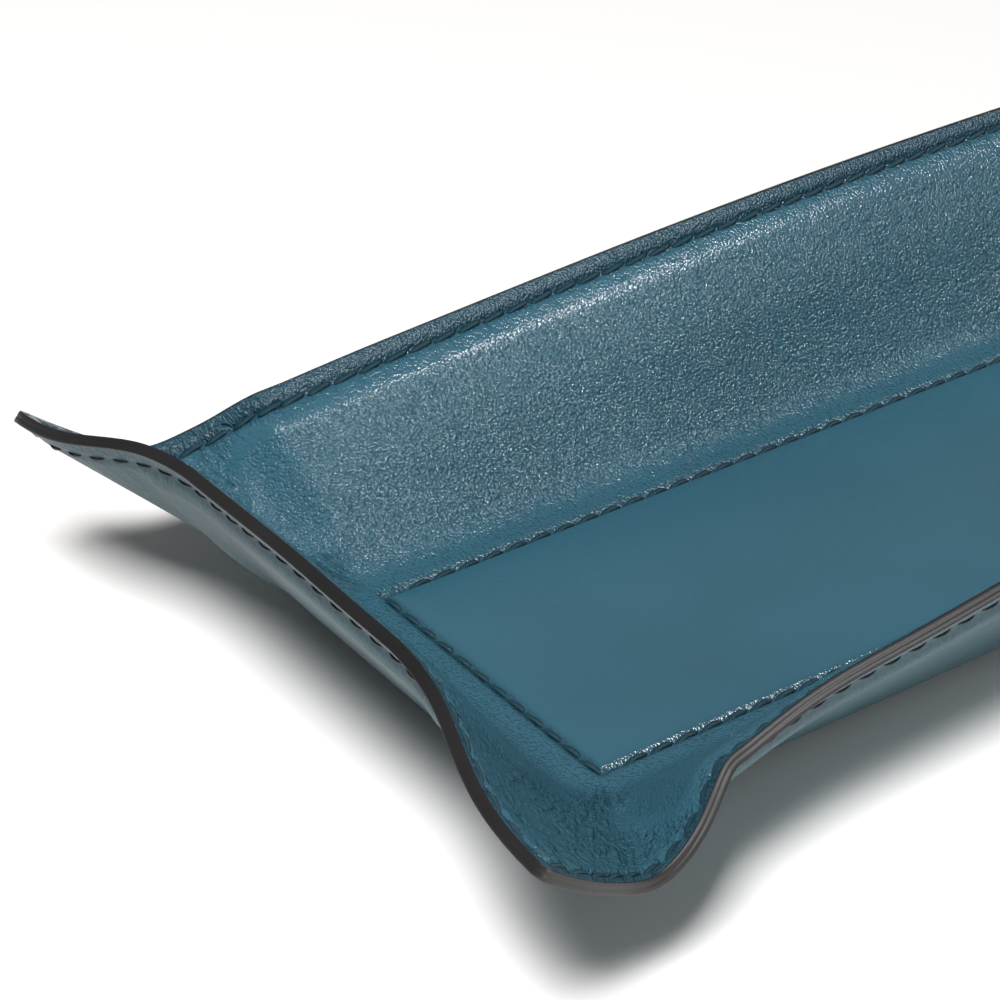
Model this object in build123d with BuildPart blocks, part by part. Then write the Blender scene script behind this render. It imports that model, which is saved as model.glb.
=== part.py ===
from build123d import *
import os
from math import atan2, cos, degrees, radians, sin
import numpy as np

# A long leather tray. One flat rectangle of two bonded leathers is folded up round a
# stitched base: stiff boards between the leathers hold the four walls, and the soft
# corners fold out into spouts. Millimetres, +Z up, +X along the tray. The origin is the
# middle of the underside, on the surface that the tray stands on.
#
# The folded leather is described by stations round the base. At each one the leather
# runs out from the fold line, bends up through the wall's rise and goes on straight to
# the rim. A place in a station is its run from the fold line, measured on the flat
# leather, and its depth below the lining's upper face.

# Stitched base and the folds round it
base_length = 240.0
base_width = 50.0
end_fold_margin = 2.6        # from the stitched line out to the fold of the end wall
side_fold_margin = 1.6       # the same at the side wall
fold_radius = 4.0            # where the two folds meet

# Walls, measured on the flat leather from the fold to the rim
end_wall = 42.6              # at the corner
side_wall = 33.4
end_bow = 1.3                # more at the middle of the end wall
side_bow = 3.1
end_bend = 8.1               # length of leather that is bent at the fold
side_bend = 6.2

# Leathers and what is between them
lining_thickness = 1.0
outer_thickness = 1.0
glue_line = 0.05
soft_gap = 0.05              # more between the leathers in the soft corners
board_thickness = 1.1
pad_thickness = 0.3
base_board_thickness = 0.8
layer_clearance = 0.05       # on each face of a board

# Boards in the walls
board_rim_inset = 4.5        # rim to board, where the outer leather begins to close
closed_rim_inset = 3.3       # rim to where it lies on the lining
side_board_start = 9.0       # fold to the lower edge of the board
end_board_start = 8.6
side_board_reach = 8.3       # past the fold corner, into the spout
end_board_reach = 6.3

# Painted edge
paint_depth = 0.45
paint_clearance = 0.03

# Stitching
stitch_pitch = 4.15
stitch_inset = 2.7           # rim to the row
thread_width = 0.55
thread_height = 0.22
thread_lift = 0.12
inner_stitch = 3.3
outer_stitch = 2.7
groove_depth = 0.4           # groove under the base that the thread lies in
groove_width = 1.0

# Helpers of the construction
cutter_height = 60.0         # taller than the walls
least = 1e-6                 # a share that counts as none

# How a wall leans: its rise in degrees, at places along it. A side wall goes from the
# corner to mid length, an end wall from mid width to the corner, as shares of half of it.
side_rise_shares = ((0, 42.2), (0.1, 47.2), (0.21, 49.8), (0.38, 53.2), (0.6, 57.8), (1, 58.6))
end_rise_shares = ((0, 54.7), (0.55, 54.5), (1, 54.4))
# Round a corner: angle on the flat leather from the end wall's side, rise, heading
corner_fold = (
    (0, 54.4, 0), (15, 48.9, 21.0), (30, 34.8, 37.2), (42, 25.8, 50.0), (52, 22.1, 57.5),
    (60, 21.4, 63.3), (67, 25.4, 69.3), (74, 31.3, 74.8), (82, 39.4, 82.5), (90, 42.2, 90),
)

# Stations of one quarter: angles round the corner from the rim's tip, and shares along
# the walls
side_turns = (46, 54, 62, 70, 76, 83, 90)
end_turns = (27, 18, 9, 0)
side_station_shares = (0.08, 0.13, 0.18, 0.26, 0.35, 0.47, 0.6, 0.78, 1)
end_station_shares = (0.55, 0)
board_side_turn = 54         # the side board's last station in the spout
board_end_turn = 27          # the end board's last station

half_length = base_length / 2 + end_fold_margin
half_width = base_width / 2 + side_fold_margin
core_space = board_thickness + 2 * layer_clearance
closed_depth = lining_thickness + glue_line          # upper face of the outer leather
cored_depth = closed_depth + core_space              # the same where it covers a board
base_level = cored_depth + outer_thickness
rim_thickness = closed_depth + outer_thickness
tip_turn = degrees(atan2(side_wall + fold_radius, end_wall + fold_radius))


def smooth_curve(table, first_slope=None, last_slope=None):
    """Cubic spline through (x, y) pairs, natural where an end slope isn't given."""
    x, y = (np.array(column, float) for column in zip(*table))
    h, rise = np.diff(x), np.diff(y)
    count = len(x)
    lhs, rhs = np.eye(count), np.zeros(count)
    for i in range(1, count - 1):
        lhs[i, i - 1:i + 2] = h[i - 1], 2 * (h[i - 1] + h[i]), h[i]
        rhs[i] = 6 * (rise[i] / h[i] - rise[i - 1] / h[i - 1])
    if first_slope is not None:
        lhs[0, :2] = 2 * h[0], h[0]
        rhs[0] = 6 * (rise[0] / h[0] - first_slope)
    if last_slope is not None:
        lhs[-1, -2:] = h[-1], 2 * h[-1]
        rhs[-1] = 6 * (last_slope - rise[-1] / h[-1])
    bend = np.linalg.solve(lhs, rhs)

    def value(at):
        i = min(max(int(np.searchsorted(x, at)) - 1, 0), count - 2)
        before, after = at - x[i], x[i + 1] - at
        cubic = (bend[i] * after**3 + bend[i + 1] * before**3) / (6 * h[i])
        line = (y[i] * after + y[i + 1] * before) / h[i]
        return cubic + line - h[i] / 6 * (bend[i] * after + bend[i + 1] * before)

    return value


side_rise = smooth_curve(side_rise_shares, last_slope=0)
end_rise = smooth_curve(end_rise_shares, first_slope=0)
corner_rise = smooth_curve([(turn, rise) for turn, rise, _ in corner_fold])
corner_heading = smooth_curve([(turn, heading) for turn, _, heading in corner_fold])


class Station:
    """Section of the folded leather, in a plane that stands on the fold line."""

    def __init__(self, turn, x, y, rise, heading, run, end, side):
        self.turn = turn
        self.rise = radians(rise)
        self.run = run
        share = sin(radians(turn))**2
        self.bend = end_bend * (1 - share) + side_bend * share
        self.radius = self.bend / self.rise
        # A distance square to the rim is this much longer along the run
        on_side = turn >= tip_turn
        self.slant = 1 / (sin(radians(turn)) if on_side else cos(radians(turn)))
        self.out = Vector(end * cos(radians(heading)), side * sin(radians(heading)), 0)
        self.plane = Plane(
            origin=(end * x, side * y, base_level),
            x_dir=self.out,
            z_dir=self.out.cross(Vector(0, 0, 1)),
        )

    def place(self, run, depth):
        """Point in the plane, at a run and a depth."""
        swept = min(run, self.bend) / self.radius
        straight = max(run - self.bend, 0)
        reach = (self.radius + depth) * sin(swept) + straight * cos(self.rise)
        height = self.radius - (self.radius + depth) * cos(swept) + straight * sin(self.rise)
        return reach, height

    def point(self, run, depth):
        """The same point in space."""
        reach, height = self.place(run, depth)
        return self.plane.origin + self.out * reach + Vector(0, 0, height)

    def slope(self):
        """Direction in space of the straight part, towards the rim."""
        return self.out * cos(self.rise) + Vector(0, 0, sin(self.rise))


def corner_station(turn, end, side):
    heading = corner_heading(turn)
    to_side = (side_wall + fold_radius) / max(sin(radians(turn)), least)
    to_end = (end_wall + fold_radius) / max(cos(radians(turn)), least)
    x = half_length - fold_radius + fold_radius * cos(radians(heading))
    y = half_width - fold_radius + fold_radius * sin(radians(heading))
    run = min(to_side, to_end) - fold_radius
    return Station(turn, x, y, corner_rise(turn), heading, run, end, side)


def side_station(share, end, side):
    x = (half_length - fold_radius) * (1 - share)
    run = side_wall + side_bow * (1 - (1 - share)**2)
    return Station(90, x, half_width, side_rise(share), 90, run, end, side)


def end_station(share, end, side):
    y = (half_width - fold_radius) * share
    run = end_wall + end_bow * (1 - share**2)
    return Station(0, half_length, y, end_rise(share), 0, run, end, side)


def side_ring(side):
    """Stations of a side wall with its halves of two spouts, from tip to tip."""
    turns = (tip_turn, *side_turns)
    first = [corner_station(turn, 1, side) for turn in turns]
    first += [side_station(share, 1, side) for share in side_station_shares]
    second = [corner_station(turn, -1, side) for turn in turns]
    second += [side_station(share, -1, side) for share in side_station_shares[:-1]]
    return first + second[::-1]


def end_ring(end):
    """Stations of an end wall with its halves of two spouts, from tip to tip."""
    turns = (tip_turn, *end_turns)
    first = [corner_station(turn, end, 1) for turn in turns]
    first += [end_station(share, end, 1) for share in end_station_shares]
    second = [corner_station(turn, end, -1) for turn in turns]
    second += [end_station(share, end, -1) for share in end_station_shares[:-1]]
    return first + second[::-1]


side_rings = [side_ring(1), side_ring(-1)]
end_rings = [end_ring(1), end_ring(-1)]
for ring in end_rings:
    # Both walls share the section at the tip of the rim
    for tip in (ring[0], ring[-1]):
        tip.slant = side_rings[0][0].slant


def section(station, top, bottom, bent=True):
    """Face in a station between two chains of (run, depth), from the fold to the rim.
    The first stretch of each chain follows the bend."""
    with BuildLine(station.plane) as outline:
        ends = []
        for chain in (top, bottom):
            places = [station.place(*pair) for pair in chain]
            ends.append((places[0], places[-1]))
            if bent:
                middle = station.place(*((a + b) / 2 for a, b in zip(*chain[:2])))
                ThreePointArc(places[0], middle, places[1])
                places = places[1:]
            for start, end in zip(places, places[1:]):
                Line(start, end)
        Line(ends[0][0], ends[1][0])
        Line(ends[0][1], ends[1][1])
    return Face(Wire(outline.edges()))


def floor_plate(depth, thickness):
    """Flat leather inside the folds."""
    right, left = ([station.plane.origin for station in ring] for ring in end_rings)
    back, front = ([station.plane.origin for station in ring] for ring in side_rings)
    outline = back + left[1:-1] + front[::-1] + right[::-1][1:-1]
    with BuildPart() as plate:
        with BuildSketch(Plane.XY.offset(base_level - depth)):
            with BuildLine():
                Polyline(*[(point.X, point.Y) for point in outline], close=True)
            make_face()
        extrude(amount=-thickness)
    return plate.part


def has_board(station):
    """True where a board lies behind the leather or just past it."""
    return station.turn >= board_side_turn or station.turn <= board_end_turn


def lining_chain(station, depth):
    """A face of the lining."""
    return [(0, depth), (station.bend, depth), (station.run, depth)]


def outer_chain(station, depth):
    """Upper face of the outer leather, lowered by depth: it lies on the boards and
    closes on the lining at the rim and in the soft corners."""
    wall_depth = cored_depth if has_board(station) else closed_depth + soft_gap
    return [
        (0, cored_depth + depth),
        (station.bend, wall_depth + depth),
        (station.run - board_rim_inset * station.slant, wall_depth + depth),
        (station.run - closed_rim_inset * station.slant, closed_depth + depth),
        (station.run, closed_depth + depth),
    ]


def save(part, name):
    """Label a finished piece and write its file."""
    part.label = name
    export_step(part, f"parts/{name}.step")


os.makedirs("parts", exist_ok=True)

# Lining: the leather that shows inside, one piece from rim to rim
with BuildPart() as lining:
    add(floor_plate(0, lining_thickness))
    for ring in side_rings + end_rings:
        loft([
            section(station, lining_chain(station, 0), lining_chain(station, lining_thickness))
            for station in ring
        ], ruled=True)
save(lining.part, "lining")

# Outer leather: one piece from rim to rim below it, with a groove under the base for
# the thread
with BuildPart() as outer_leather:
    add(floor_plate(cored_depth, outer_thickness))
    with BuildSketch(Plane.XY):
        Rectangle(base_length + groove_width, base_width + groove_width)
        Rectangle(base_length - groove_width, base_width - groove_width, mode=Mode.SUBTRACT)
    extrude(amount=groove_depth, mode=Mode.SUBTRACT)
    for ring in side_rings + end_rings:
        loft([
            section(station, outer_chain(station, 0), outer_chain(station, outer_thickness))
            for station in ring
        ], ruled=True)
save(outer_leather.part, "outer_leather")

# Base: a thin foam pad under the lining, and a board under the pad
pad_top = base_level - lining_thickness - layer_clearance
board_top = pad_top - pad_thickness
for name, level, thickness in (
    ("base_pad", pad_top, pad_thickness), ("base_board", board_top, base_board_thickness)
):
    with BuildPart() as core:
        with BuildSketch(Plane.XY.offset(level)):
            RectangleRounded(2 * half_length, 2 * half_width, fold_radius)
        extrude(amount=-thickness)
    save(core.part, name)

# Wall boards: the layer between the leathers, cut to the outline of a board
board_upper_depth = lining_thickness + layer_clearance
board_lower_depth = board_upper_depth + board_thickness


def board_chain(station, depth):
    """A face of the layer of a wall board."""
    return [(station.bend, depth), (station.run - board_rim_inset * station.slant, depth)]


def cut_runs(station, start, reach):
    """Lowest and highest run of a board in a station, for its distances on the flat
    leather past the fold and past the fold corner."""
    low = (start + fold_radius) * station.slant - fold_radius
    along = cos(radians(station.turn)) if station.turn >= tip_turn else sin(radians(station.turn))
    if along <= least:
        return low, station.run
    return low, min(station.run, (reach + fold_radius) / along - fold_radius)


for name, ring, start, reach in (
    ("back_wall_board", side_rings[0], side_board_start, side_board_reach),
    ("front_wall_board", side_rings[1], side_board_start, side_board_reach),
    ("right_wall_board", end_rings[0], end_board_start, end_board_reach),
    ("left_wall_board", end_rings[1], end_board_start, end_board_reach),
):
    covered = [station for station in ring if has_board(station)]
    with BuildPart() as wall_board:
        loft([
            section(station, board_chain(station, board_upper_depth),
                    board_chain(station, board_lower_depth), bent=False)
            for station in covered
        ], ruled=True)
        runs = [cut_runs(station, start, reach) for station in covered]
        lower = [station.point(low, board_upper_depth) for station, (low, _) in zip(covered, runs)]
        upper = [station.point(high, board_upper_depth) for station, (_, high) in zip(covered, runs)]
        with BuildSketch(Plane.XY):
            with BuildLine():
                Polyline(*[(point.X, point.Y) for point in lower + upper[::-1]], close=True)
            make_face()
        extrude(amount=cutter_height, mode=Mode.INTERSECT)
    save(wall_board.part, name)

# Painted edge: a thin coat round the cut edges of both leathers
def paint_chain(station, depth):
    """A side of the coat."""
    near = station.run + paint_clearance * station.slant
    return [(near, depth), (near + paint_depth * station.slant, depth)]


with BuildPart() as edge_paint:
    for ring in side_rings + end_rings:
        loft([
            section(station, paint_chain(station, 0), paint_chain(station, rim_thickness), bent=False)
            for station in ring
        ], ruled=True)
save(edge_paint.part, "edge_paint")


# Stitches: the thread shows as a row of short raised bars on each face
def stitch_bar(length):
    with BuildPart() as bar:
        with BuildSketch():
            SlotOverall(length, thread_width)
        extrude(amount=thread_height)
    return bar.part


def along_row(row, distance):
    """Point and slope of the leather at a distance along a row of (point, slope)."""
    for (start, first), (end, second) in zip(row, row[1:]):
        step = (end - start).length
        if distance <= step:
            share = distance / step
            return start + (end - start) * share, first * (1 - share) + second * share
        distance -= step
    return row[-1]


def rim_seats(depth, outward, length):
    """Locations of the stitches of the rim on a face: outward is 1 above the lining and
    -1 below the outer leather."""
    seats = []
    for ring, turned in zip(side_rings + end_rings, (1, -1, -1, 1)):
        row = [
            (station.point(station.run - stitch_inset * station.slant, depth), station.slope())
            for station in ring
        ]
        whole = sum((end - start).length for (start, _), (end, _) in zip(row, row[1:]))
        count = round(whole / stitch_pitch)
        for i in range(count):
            middle = whole * (i + 1 / 2) / count
            start, _ = along_row(row, middle - length / 2)
            end, _ = along_row(row, middle + length / 2)
            _, slope = along_row(row, middle)
            along = (end - start).normalized()
            normal = along.cross(slope).normalized() * outward * turned
            seats.append(
                Plane((start + end) / 2 + normal * thread_lift, x_dir=along, z_dir=normal).location)
    return seats


with BuildPart() as rim_thread_inside:
    with Locations(*rim_seats(0, 1, inner_stitch)):
        add(stitch_bar(inner_stitch))
save(rim_thread_inside.part, "rim_thread_inside")

with BuildPart() as rim_thread_outside:
    with Locations(*rim_seats(rim_thickness, -1, outer_stitch)):
        add(stitch_bar(outer_stitch))
save(rim_thread_outside.part, "rim_thread_outside")


def base_row(level):
    """Locations of the stitches round the base, at a level."""
    spots = []
    count = round(base_length / stitch_pitch)
    for i in range(count):
        for side in (1, -1):
            x = base_length * ((i + 1 / 2) / count - 1 / 2)
            spots.append(Location((x, side * base_width / 2, level), (0, 0, 0)))
    count = round(base_width / stitch_pitch)
    for i in range(count):
        for end in (1, -1):
            y = base_width * ((i + 1 / 2) / count - 1 / 2)
            spots.append(Location((end * base_length / 2, y, level), (0, 0, 90)))
    return spots


with BuildPart() as base_thread_top:
    with Locations(*base_row(base_level + layer_clearance)):
        add(stitch_bar(inner_stitch))
save(base_thread_top.part, "base_thread_top")

with BuildPart() as base_thread_under:
    with Locations(*base_row((groove_depth - thread_height) / 2)):
        add(stitch_bar(outer_stitch))
save(base_thread_under.part, "base_thread_under")
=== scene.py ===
"""A long leather valet tray, dressed for a studio picture.

The tray is one flat rectangle of two bonded leathers, folded up round a stitched base.
Every visible piece is first laid out on the flat leather, where its seams, creases and
grain are simple, and is then folded with the leather into its place in the frame.
Lengths are in millimetres, and in metres once they reach a mesh or the studio.
"""

import logging
import math
from dataclasses import dataclass
from enum import Enum
from typing import Callable, Sequence

import bpy
import numpy as np
from bpy.types import Material, Mesh, Node, NodeSocket, NodeTree, Object
from mathutils import Matrix, Vector


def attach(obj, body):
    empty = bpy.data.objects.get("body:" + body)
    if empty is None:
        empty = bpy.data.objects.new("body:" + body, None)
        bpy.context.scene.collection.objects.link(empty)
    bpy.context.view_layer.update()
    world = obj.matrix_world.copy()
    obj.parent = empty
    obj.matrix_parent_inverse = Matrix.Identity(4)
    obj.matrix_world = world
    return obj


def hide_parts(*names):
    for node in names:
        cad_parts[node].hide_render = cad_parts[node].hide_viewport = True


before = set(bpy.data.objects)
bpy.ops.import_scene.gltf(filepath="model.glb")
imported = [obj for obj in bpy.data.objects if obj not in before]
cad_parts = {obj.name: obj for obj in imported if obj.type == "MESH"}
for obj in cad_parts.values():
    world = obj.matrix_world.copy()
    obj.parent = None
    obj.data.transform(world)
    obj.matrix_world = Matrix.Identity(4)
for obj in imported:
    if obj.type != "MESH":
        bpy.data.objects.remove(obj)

log = logging.getLogger("valet_tray")
Array = np.ndarray
Columns = tuple[Array, Array, Array]
Places = tuple[Array, Array, Array, Array]
Edge = Callable[[Array], Array]
Height = Callable[[Array, Array], Array]
Pattern = tuple[NodeSocket, NodeSocket]
Point = tuple[float, float, float]
MM = 0.001
# UV maps and attributes of the leather count in decimetres
TO_DECIMETRES = 0.01


class Face(Enum):
    """Which side of the folded leather a piece lies on."""

    INSIDE = 1
    OUTSIDE = -1


def linear(hex_colour: str) -> tuple[float, float, float, float]:
    """Turns an sRGB hex colour into linear light.

    Args:
        hex_colour: colour such as "#205066".

    Returns:
        Linear red, green, blue and an alpha of 1.
    """
    parts = [int(hex_colour[i:i + 2], 16) / 255 for i in (1, 3, 5)]
    return (*(c / 12.92 if c <= 0.04045 else ((c + 0.055) / 1.055) ** 2.4 for c in parts), 1.0)


def ease(share: Array) -> Array:
    """Goes from 0 to 1 with level ends."""
    share = np.clip(share, 0.0, 1.0)
    return share * share * (3 - 2 * share)


def unit(vectors: Array) -> Array:
    """Vectors of length 1."""
    return vectors / np.linalg.norm(vectors, axis=-1, keepdims=True)


@dataclass(frozen=True)
class Slope:
    """A step from 0 to 1, eased at both ends."""

    start: float
    length: float

    def __call__(self, at: Array) -> Array:
        """How far up the step each place is."""
        return ease((at - self.start) / self.length)


@dataclass(frozen=True)
class Bell:
    """A rounded ridge or groove that runs beside a line."""

    height: float
    middle: float
    width: float

    def __call__(self, at: Array) -> Array:
        """Height at each distance from the line."""
        return self.height * np.exp(-(((at - self.middle) / self.width) ** 2))


class SmoothCurve:
    """A cubic spline through a few points."""

    def __init__(
        self, table: Sequence[tuple[float, float]],
        first_slope: float | None = None, last_slope: float | None = None,
    ) -> None:
        """Solves the spline.

        Args:
            table: (x, y) pairs in order of x.
            first_slope: slope at the first point, or None for a natural end.
            last_slope: the same at the last point.
        """
        self.x, self.y = (np.array(column, float) for column in zip(*table))
        self.h = np.diff(self.x)
        rise = np.diff(self.y)
        count = len(self.x)
        lhs, rhs = np.eye(count), np.zeros(count)
        for i in range(1, count - 1):
            lhs[i, i - 1:i + 2] = self.h[i - 1], 2 * (self.h[i - 1] + self.h[i]), self.h[i]
            rhs[i] = 6 * (rise[i] / self.h[i] - rise[i - 1] / self.h[i - 1])
        if first_slope is not None:
            lhs[0, :2] = 2 * self.h[0], self.h[0]
            rhs[0] = 6 * (rise[0] / self.h[0] - first_slope)
        if last_slope is not None:
            lhs[-1, -2:] = self.h[-1], 2 * self.h[-1]
            rhs[-1] = 6 * (last_slope - rise[-1] / self.h[-1])
        self.bend = np.linalg.solve(lhs, rhs)

    def __call__(self, at: Array) -> Array:
        """Value at each place."""
        i = np.clip(np.searchsorted(self.x, at) - 1, 0, len(self.x) - 2)
        before, after, h = at - self.x[i], self.x[i + 1] - at, self.h[i]
        cubic = (self.bend[i] * after**3 + self.bend[i + 1] * before**3) / (6 * h)
        line = (self.y[i] * after + self.y[i + 1] * before) / h
        return cubic + line - h / 6 * (self.bend[i] * after + self.bend[i + 1] * before)


def inset(u: Array, v: Array, half_u: float, half_v: Array, corner: float = 0.0) -> Array:
    """Signed distance of flat places inside the outline of a rectangle.

    Args:
        u: distance from its middle one way.
        v: distance from its middle the other way.
        half_u: half of its length along u.
        half_v: half of its length along v.
        corner: radius of its corners.

    Returns:
        Distance from the outline, negative outside it.
    """
    du, dv = np.abs(u) - (half_u - corner), np.abs(v) - (half_v - corner)
    outside = np.hypot(np.maximum(du, 0), np.maximum(dv, 0))
    return corner - outside - np.minimum(np.maximum(du, dv), 0)


@dataclass(frozen=True)
class WallBoard:
    """A wall's board, laid out flat: where it starts past its fold and ends past the next."""

    start: float
    past_fold: float
    corner: float
    rim_gap: float = 4.6


SIDE_BOARD = WallBoard(start=9.0, past_fold=8.3, corner=3.6)
END_BOARD = WallBoard(start=8.6, past_fold=6.3, corner=3.2)


@dataclass(frozen=True)
class FoldedLeather:
    """The flat leather and how it is folded.

    u runs along the tray and v across it, both from the middle of the base. The rises and
    headings are in degrees: along a side wall from its end to its middle, along an end wall
    from its middle to its end, and round a corner from the end wall to the side wall.
    """

    base_length: float = 240.0
    base_width: float = 50.0
    end_fold_margin: float = 2.6
    side_fold_margin: float = 1.6
    fold_radius: float = 4.0
    end_wall: float = 42.6
    side_wall: float = 33.4
    end_bow: float = 1.3
    side_bow: float = 3.1
    end_bend: float = 8.1
    side_bend: float = 6.2
    tip_radius: float = 1.5
    base_level: float = 3.25
    closed_depth: float = 1.05
    cored_depth: float = 2.25
    over_core: Slope = Slope(3.2, 1.6)
    past_board: float = 5.0
    leather: float = 1.0
    skive: float = 0.4
    skive_width: float = 4.2
    side_rise: SmoothCurve = SmoothCurve(
        [(0, 42.2), (0.1, 47.2), (0.21, 49.8), (0.38, 53.2), (0.6, 57.8), (1, 58.6)],
        last_slope=0)
    end_rise: SmoothCurve = SmoothCurve([(0, 54.7), (0.55, 54.5), (1, 54.4)], first_slope=0)
    corner_rise: SmoothCurve = SmoothCurve(
        [(0, 54.4), (15, 48.9), (30, 34.8), (42, 25.8), (52, 22.1), (60, 21.4), (67, 25.4),
         (74, 31.3), (82, 39.4), (90, 42.2)], first_slope=0, last_slope=0.3)
    corner_heading: SmoothCurve = SmoothCurve(
        [(0, 0), (15, 21.0), (30, 37.2), (42, 50.0), (52, 57.5), (60, 63.3), (67, 69.3),
         (74, 74.8), (82, 82.0), (90, 90)], first_slope=1.26, last_slope=1.17)

    @property
    def half_length(self) -> float:
        """Base's middle to the fold of an end wall."""
        return self.base_length / 2 + self.end_fold_margin

    @property
    def half_width(self) -> float:
        """Base's middle to the fold of a side wall."""
        return self.base_width / 2 + self.side_fold_margin

    @property
    def seam_corner(self) -> tuple[float, float]:
        """Flat u and v of a corner of the base's seam."""
        return self.base_length / 2, self.base_width / 2

    @property
    def sheet_corner(self) -> tuple[float, float]:
        """Flat u and v where two rims would meet, before the tip is rounded."""
        return self.half_length + self.end_wall, self.half_width + self.side_wall

    def end_edge(self, v: Array) -> Array:
        """Flat distance of the end wall's rim from the middle, at width v."""
        share = np.clip(np.abs(v) / (self.half_width - self.fold_radius), 0, 1)
        return self.half_length + self.end_wall + self.end_bow * (1 - share**2) ** 1.5

    def side_edge(self, u: Array) -> Array:
        """Flat distance of the side wall's rim from the middle, at length u."""
        share = np.clip(np.abs(u) / (self.half_length - self.fold_radius), 0, 1)
        return self.half_width + self.side_wall + self.side_bow * (1 - share**2) ** 1.5

    def past_folds(self, u: Array, v: Array) -> tuple[Array, Array]:
        """How far flat places lie past the end fold and past the side fold."""
        return np.abs(u) - self.half_length, np.abs(v) - self.half_width

    def rim_gaps(self, u: Array, v: Array) -> tuple[Array, Array]:
        """How far flat places lie inside the end wall's rim and inside the side wall's."""
        return self.end_edge(v) - np.abs(u), self.side_edge(u) - np.abs(v)

    def base_inset(self, u: Array, v: Array) -> Array:
        """How far flat places lie inside the seam of the base."""
        return inset(u, v, *self.seam_corner)

    def place(self, u: Array, v: Array) -> Array:
        """Folds flat places.

        Args:
            u: lengths along the flat leather.
            v: widths across it.

        Returns:
            Points on the lining's upper face, one row each.
        """
        u, v = np.asarray(u, float), np.asarray(v, float)
        core_u, core_v = self.half_length - self.fold_radius, self.half_width - self.fold_radius
        past_u, past_v = np.abs(u) - core_u, np.abs(v) - core_v
        out_u, out_v = np.maximum(past_u, 0), np.maximum(past_v, 0)
        far = np.hypot(out_u, out_v)
        turn = np.degrees(np.arctan2(out_v, np.maximum(out_u, 1e-12)))
        turn = np.where(past_v <= 0, 0.0, np.where(past_u <= 0, 90.0, turn))
        side = self.side_rise(1 - np.clip(np.abs(u) / core_u, 0, 1))
        end = self.end_rise(np.clip(np.abs(v) / core_v, 0, 1))
        rise = np.where(past_v > 0, side, end)
        rise = np.where((past_u > 0) & (past_v > 0), self.corner_rise(turn), rise)
        rise, heading = np.radians(rise), np.radians(self.corner_heading(turn))
        run = np.maximum(far - self.fold_radius, 0)
        share = np.sin(np.radians(turn)) ** 2
        bend = self.end_bend * (1 - share) + self.side_bend * share
        radius, straight = bend / rise, np.maximum(run - bend, 0)
        swept = np.minimum(run, bend) / radius
        level = np.minimum(far, self.fold_radius)
        reach = level + radius * np.sin(swept) + straight * np.cos(rise)
        height = radius * (1 - np.cos(swept)) + straight * np.sin(rise)
        x = np.minimum(np.abs(u), core_u) + np.where(past_u > 0, reach * np.cos(heading), 0)
        y = np.minimum(np.abs(v), core_v) + np.where(past_v > 0, reach * np.sin(heading), 0)
        return np.stack([np.copysign(x, u), np.copysign(y, v), self.base_level + height], -1)

    def normal(self, u: Array, v: Array, step: float = 0.35) -> Array:
        """Unit normals at flat places, out of the lining's upper face."""
        along = self.place(u + step, v) - self.place(u - step, v)
        across = self.place(u, v + step) - self.place(u, v - step)
        return unit(np.cross(along, across))

    def lift(self, u: Array, v: Array, height: Array) -> Array:
        """Points at a height over the lining's upper face, or under it if negative."""
        return self.place(u, v) + self.normal(u, v) * np.asarray(height)[..., None]

    def outer_face(self, u: Array, v: Array) -> Array:
        """Depth of the outer leather's lower face under the lining's upper face.

        The leather lies over the boards and closes on the lining at the rim and in the
        soft corners.
        """
        past_u, past_v = self.past_folds(u, v)
        to_end, to_side = self.rim_gaps(u, v)
        past_side = ease((past_u - SIDE_BOARD.past_fold) / self.past_board)
        past_end = ease((past_v - END_BOARD.past_fold) / self.past_board)
        cored = self.over_core(to_end) * self.over_core(to_side) * (1 - past_side * past_end)
        gap = np.minimum(to_end, to_side)
        skived = self.skive * ease((self.skive_width - gap) / self.skive_width)
        depth = self.closed_depth + (self.cored_depth - self.closed_depth) * cored
        return depth + self.leather - skived


LEATHER = FoldedLeather()


@dataclass(frozen=True)
class Crease:
    """A soft crease pressed into the flat leather past a fold corner.

    p and q count from the corner of the folds, p past the end wall's fold and q past the
    side wall's.
    """

    start: tuple[float, float]
    end: tuple[float, float]
    width: float
    depth: float
    sag: float
    fade: float = 0.3

    def relief(self, p: Array, q: Array) -> Array:
        """Height that the crease adds at flat places."""
        a, b = np.array(self.start), np.array(self.end)
        length = float(np.hypot(*(b - a)))
        along = (b - a) / length
        t = ((p - a[0]) * along[0] + (q - a[1]) * along[1]) / length
        side = -(p - a[0]) * along[1] + (q - a[1]) * along[0]
        side = side - self.sag * 4 * t * (1 - t)
        fade = ease(t / self.fade) * ease((1 - t) / self.fade)
        return Bell(-self.depth, 0.0, self.width)(side) * np.where((t > 0) & (t < 1), fade, 0)


CREASES = (
    # The valley at the foot of the padded corner
    Crease((27.0, 6.4), (12.0, 4.6), 1.8, 0.26, 0.3),
    Crease((15.0, 4.8), (3.6, 6.6), 1.5, 0.40, -0.4),
    Crease((6.5, 5.0), (2.5, 12.0), 1.3, 0.30, -0.5),
    # Soft folds that run out into the spout
    Crease((4.0, 9.0), (11.0, 25.0), 0.7, 0.16, 0.8),
    Crease((3.2, 8.0), (8.0, 27.0), 0.7, 0.18, 0.6),
    Crease((5.5, 8.0), (15.0, 23.0), 0.7, 0.14, 0.7),
    Crease((7.0, 7.0), (21.0, 19.0), 0.8, 0.10, -0.7),
)


@dataclass(frozen=True)
class Stitching:
    """The pitch of the seams, and how far in from the rim its seam runs."""

    pitch: float = 4.15
    rim_inset: float = 2.8

    def between(self, along: Array) -> Array:
        """0 at a needle hole, and 1 halfway to the next."""
        return 0.5 - 0.5 * np.cos(2 * np.pi * along / self.pitch)


SEAM = Stitching()


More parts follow.
